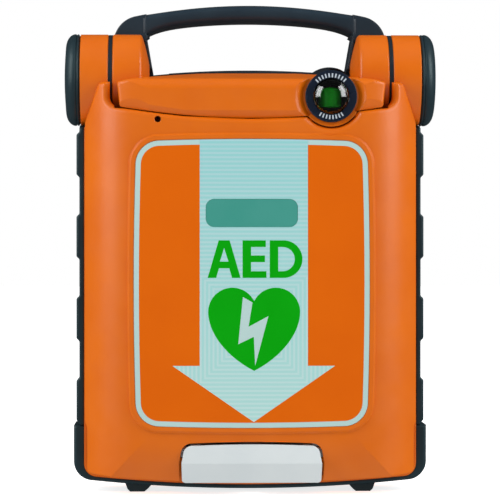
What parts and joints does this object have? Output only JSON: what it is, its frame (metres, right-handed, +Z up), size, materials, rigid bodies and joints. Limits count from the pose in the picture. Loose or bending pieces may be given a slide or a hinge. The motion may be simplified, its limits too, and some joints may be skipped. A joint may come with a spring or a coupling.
{
  "type": "automated external defibrillator",
  "caption": "Rugged upright defibrillator case with a barrel-hinged front lid, carrying handle, status window, pull latch, control deck and rear battery.",
  "frame": {"origin": "centre of the bounding box's base, on the surface that the rubber feet stand on", "axes": "+Z up, front of the lid faces -Y, +X to the right as seen from the front"},
  "size_m": [0.2286, 0.086, 0.3008],
  "materials": {
    "orange_shell": "satin textured moulding",
    "grey_rubber": "soft-touch, satin",
    "dark_plastic": "fine textured",
    "light_plastic": "semi-gloss",
    "label_print": "printed polyester label",
    "clear_window": "clear polycarbonate",
    "lens_clear": "clear polycarbonate dome",
    "navy_plastic": "semi-gloss",
    "status_green": "matt",
    "button_orange": "translucent, gloss",
    "button_grey": "satin",
    "fascia_grey": "fine textured",
    "steel": "turned",
    "brass": "satin",
    "circuit_board": "solder mask",
    "chip_black": "moulded",
    "aluminium": "extruded",
    "copper_winding": "enamelled wire",
    "capacitor_blue": "sleeved",
    "foil_pouch": "laminated foil",
    "display": "reflective LCD",
    "white_plate": "printed plate",
    "battery_dark": "fine textured"
  },
  "bodies": {
    "case": {"rear_housing": "orange_shell", "front_housing": "orange_shell", "handle_frame": "dark_plastic", "handle_grip": "grey_rubber", "bumper_left": "grey_rubber", "bumper_right": "grey_rubber", "bumper_bottom": "grey_rubber", "foot_left": "grey_rubber", "foot_right": "grey_rubber", "hinge_pin_left": "steel", "hinge_pin_right": "steel", "hinge_washer_left": "dark_plastic", "hinge_washer_right": "dark_plastic", "control_fascia": "fascia_grey", "lcd_window": "clear_window", "lcd_module": "display", "pads_socket": "dark_plastic", "keypad_membrane": "grey_rubber", "speaker": "chip_black", "speaker_mesh": "steel", "main_board": "circuit_board", "control_board": "circuit_board", "board_screws": "steel", "case_screws": "steel", "hv_capacitor": "capacitor_blue", "charge_transformer": "copper_winding", "heat_sink": "aluminium", "processors": "chip_black", "reed_switch": "clear_window", "battery_contacts": "brass", "usb_port": "steel", "rating_plate": "white_plate", "pads_pouch": "foil_pouch", "indicator_bezel": "navy_plastic", "indicator_lens": "lens_clear", "indicator_housing": "dark_plastic", "lid_catch": "dark_plastic"},
    "lid": {"lid_shell": "orange_shell", "label_panel": "label_print", "expiry_window": "clear_window", "lid_liner": "fascia_grey", "lid_screws": "steel", "lid_magnet": "steel", "latch_pin": "steel", "latch_spring": "steel", "hinge_cap_left": "grey_rubber", "hinge_cap_right": "grey_rubber", "hinge_bush_left": "brass", "hinge_bush_right": "brass"},
    "latch": {"latch_lever": "light_plastic"},
    "shock_key": {"shock_button": "button_orange"},
    "language_key": {"language_button": "button_grey"},
    "status": {"status_drum": "status_green"},
    "battery": {"battery_case": "battery_dark", "battery_cover": "battery_dark", "battery_cells": "steel"},
    "usb_flap": {"usb_cover": "grey_rubber"}
  },
  "joints": [
    {"name": "lid_hinge", "type": "hinge", "parent": "case", "child": "lid", "pos_m": [0, 0.004, 0.2535], "axis": [-1, 0, 0], "range_deg": [0, 110]},
    {"name": "latch_pull", "type": "hinge", "parent": "lid", "child": "latch", "pos_m": [0, -0.0338, 0.0286], "axis": [-1, 0, 0], "range_deg": [0, 15], "stiffness_Nm_per_rad": 0.3},
    {"name": "shock_press", "type": "slide", "parent": "case", "child": "shock_key", "axis": [0, 1, 0], "range_m": [0, 0.002], "stiffness_N_per_m": 1500},
    {"name": "language_press", "type": "slide", "parent": "case", "child": "language_key", "axis": [0, 1, 0], "range_m": [0, 0.0015], "stiffness_N_per_m": 1500},
    {"name": "status_turn", "type": "hinge", "parent": "case", "child": "status", "pos_m": [0.0481, -0.0239, 0.2409], "axis": [0, 0, 1], "range_deg": [0, 180]},
    {"name": "battery_slide", "type": "slide", "parent": "case", "child": "battery", "axis": [0, 1, 0], "range_m": [0, 0.05]},
    {"name": "usb_flap_hinge", "type": "hinge", "parent": "case", "child": "usb_flap", "pos_m": [0.072, 0.0419, 0.197], "axis": [-1, 0, 0], "range_deg": [0, 95]}
  ]
}
